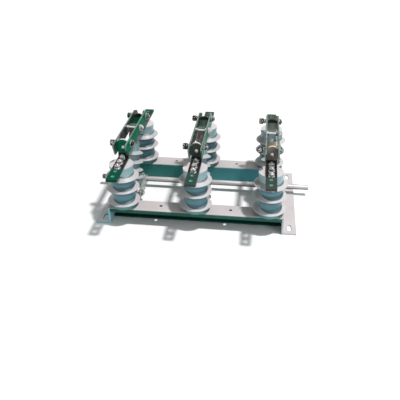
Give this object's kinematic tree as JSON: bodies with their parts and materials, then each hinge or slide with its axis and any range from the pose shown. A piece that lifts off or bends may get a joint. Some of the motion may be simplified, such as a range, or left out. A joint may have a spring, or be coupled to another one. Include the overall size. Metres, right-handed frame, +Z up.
{
  "type": "substation disconnect switch",
  "caption": "Gang-operated knife disconnect switch on a low steel base: post insulators carry hinged twin-plate blades, lifted by a cross shaft through cranks and insulated rods.",
  "frame": {"origin": "on the floor, midway between the two base flanges and the two terminal rows, under the middle pole", "axes": "+Z up, X across the poles along the shaft, -Y towards the fixed-contact side that faces the camera"},
  "size_m": [0.8, 0.595, 0.295],
  "materials": {
    "frame_paint": "pale grey-green paint on folded steel",
    "plated_steel": "zinc-plated steel, satin",
    "insulator": "cast resin, pale, satin",
    "tinned_copper": "tinned copper bar, bright with dull patches",
    "blade_paint": "plated copper blade with green lacquered sides"
  },
  "bodies": {
    "base": {"front_beam": "frame_paint", "rear_beam": "frame_paint", "left_end_angle": "frame_paint", "right_end_angle": "frame_paint", "left_shaft_bearing": "plated_steel", "right_shaft_bearing": "plated_steel", "front_left_post": "insulator", "rear_left_post": "insulator", "left_fixed_contact": "tinned_copper", "left_hinge_base": "tinned_copper", "front_middle_post": "insulator", "rear_middle_post": "insulator", "middle_fixed_contact": "tinned_copper", "middle_hinge_base": "tinned_copper", "front_right_post": "insulator", "rear_right_post": "insulator", "right_fixed_contact": "tinned_copper", "right_hinge_base": "tinned_copper"},
    "shaft": {"main_shaft": "plated_steel", "left_crank": "plated_steel", "left_crank_pin": "plated_steel", "middle_crank": "plated_steel", "middle_crank_pin": "plated_steel", "right_crank": "plated_steel", "right_crank_pin": "plated_steel"},
    "left_blade": {"left_blade_left_plate": "blade_paint", "left_blade_right_plate": "blade_paint", "left_hinge_bolt": "plated_steel", "left_contact_bolt": "plated_steel", "left_drive_pin": "plated_steel"},
    "left_rod": {"left_rod_insulator": "insulator", "left_rod_upper_fitting": "plated_steel", "left_rod_lower_fitting": "plated_steel"},
    "middle_blade": {"middle_blade_left_plate": "blade_paint", "middle_blade_right_plate": "blade_paint", "middle_hinge_bolt": "plated_steel", "middle_contact_bolt": "plated_steel", "middle_drive_pin": "plated_steel"},
    "middle_rod": {"middle_rod_insulator": "insulator", "middle_rod_upper_fitting": "plated_steel", "middle_rod_lower_fitting": "plated_steel"},
    "right_blade": {"right_blade_left_plate": "blade_paint", "right_blade_right_plate": "blade_paint", "right_hinge_bolt": "plated_steel", "right_contact_bolt": "plated_steel", "right_drive_pin": "plated_steel"},
    "right_rod": {"right_rod_insulator": "insulator", "right_rod_upper_fitting": "plated_steel", "right_rod_lower_fitting": "plated_steel"}
  },
  "joints": [
    {"name": "shaft_turn", "type": "hinge", "parent": "base", "child": "shaft", "pos_m": [0, 0.066, 0.034], "axis": [-1, 0, 0], "range_deg": [0, 60]},
    {"name": "left_blade_hinge", "type": "hinge", "parent": "base", "child": "left_blade", "pos_m": [-0.25, 0.128, 0.272], "axis": [-1, 0, 0], "range_deg": [0, 60]},
    {"name": "left_rod_pivot", "type": "hinge", "parent": "left_blade", "child": "left_rod", "pos_m": [-0.25, 0.02, 0.272], "axis": [-1, 0, 0], "range_deg": [-60, 0]},
    {"name": "middle_blade_hinge", "type": "hinge", "parent": "base", "child": "middle_blade", "pos_m": [0, 0.128, 0.272], "axis": [-1, 0, 0], "range_deg": [0, 60]},
    {"name": "middle_rod_pivot", "type": "hinge", "parent": "middle_blade", "child": "middle_rod", "pos_m": [0, 0.02, 0.272], "axis": [-1, 0, 0], "range_deg": [-60, 0]},
    {"name": "right_blade_hinge", "type": "hinge", "parent": "base", "child": "right_blade", "pos_m": [0.25, 0.128, 0.272], "axis": [-1, 0, 0], "range_deg": [0, 60]},
    {"name": "right_rod_pivot", "type": "hinge", "parent": "right_blade", "child": "right_rod", "pos_m": [0.25, 0.02, 0.272], "axis": [-1, 0, 0], "range_deg": [-60, 0]}
  ],
  "couplings": [
    {"joint": "left_blade_hinge", "follows": "shaft_turn", "ratio": 1},
    {"joint": "left_rod_pivot", "follows": "shaft_turn", "ratio": -1},
    {"joint": "middle_blade_hinge", "follows": "shaft_turn", "ratio": 1},
    {"joint": "middle_rod_pivot", "follows": "shaft_turn", "ratio": -1},
    {"joint": "right_blade_hinge", "follows": "shaft_turn", "ratio": 1},
    {"joint": "right_rod_pivot", "follows": "shaft_turn", "ratio": -1}
  ]
}
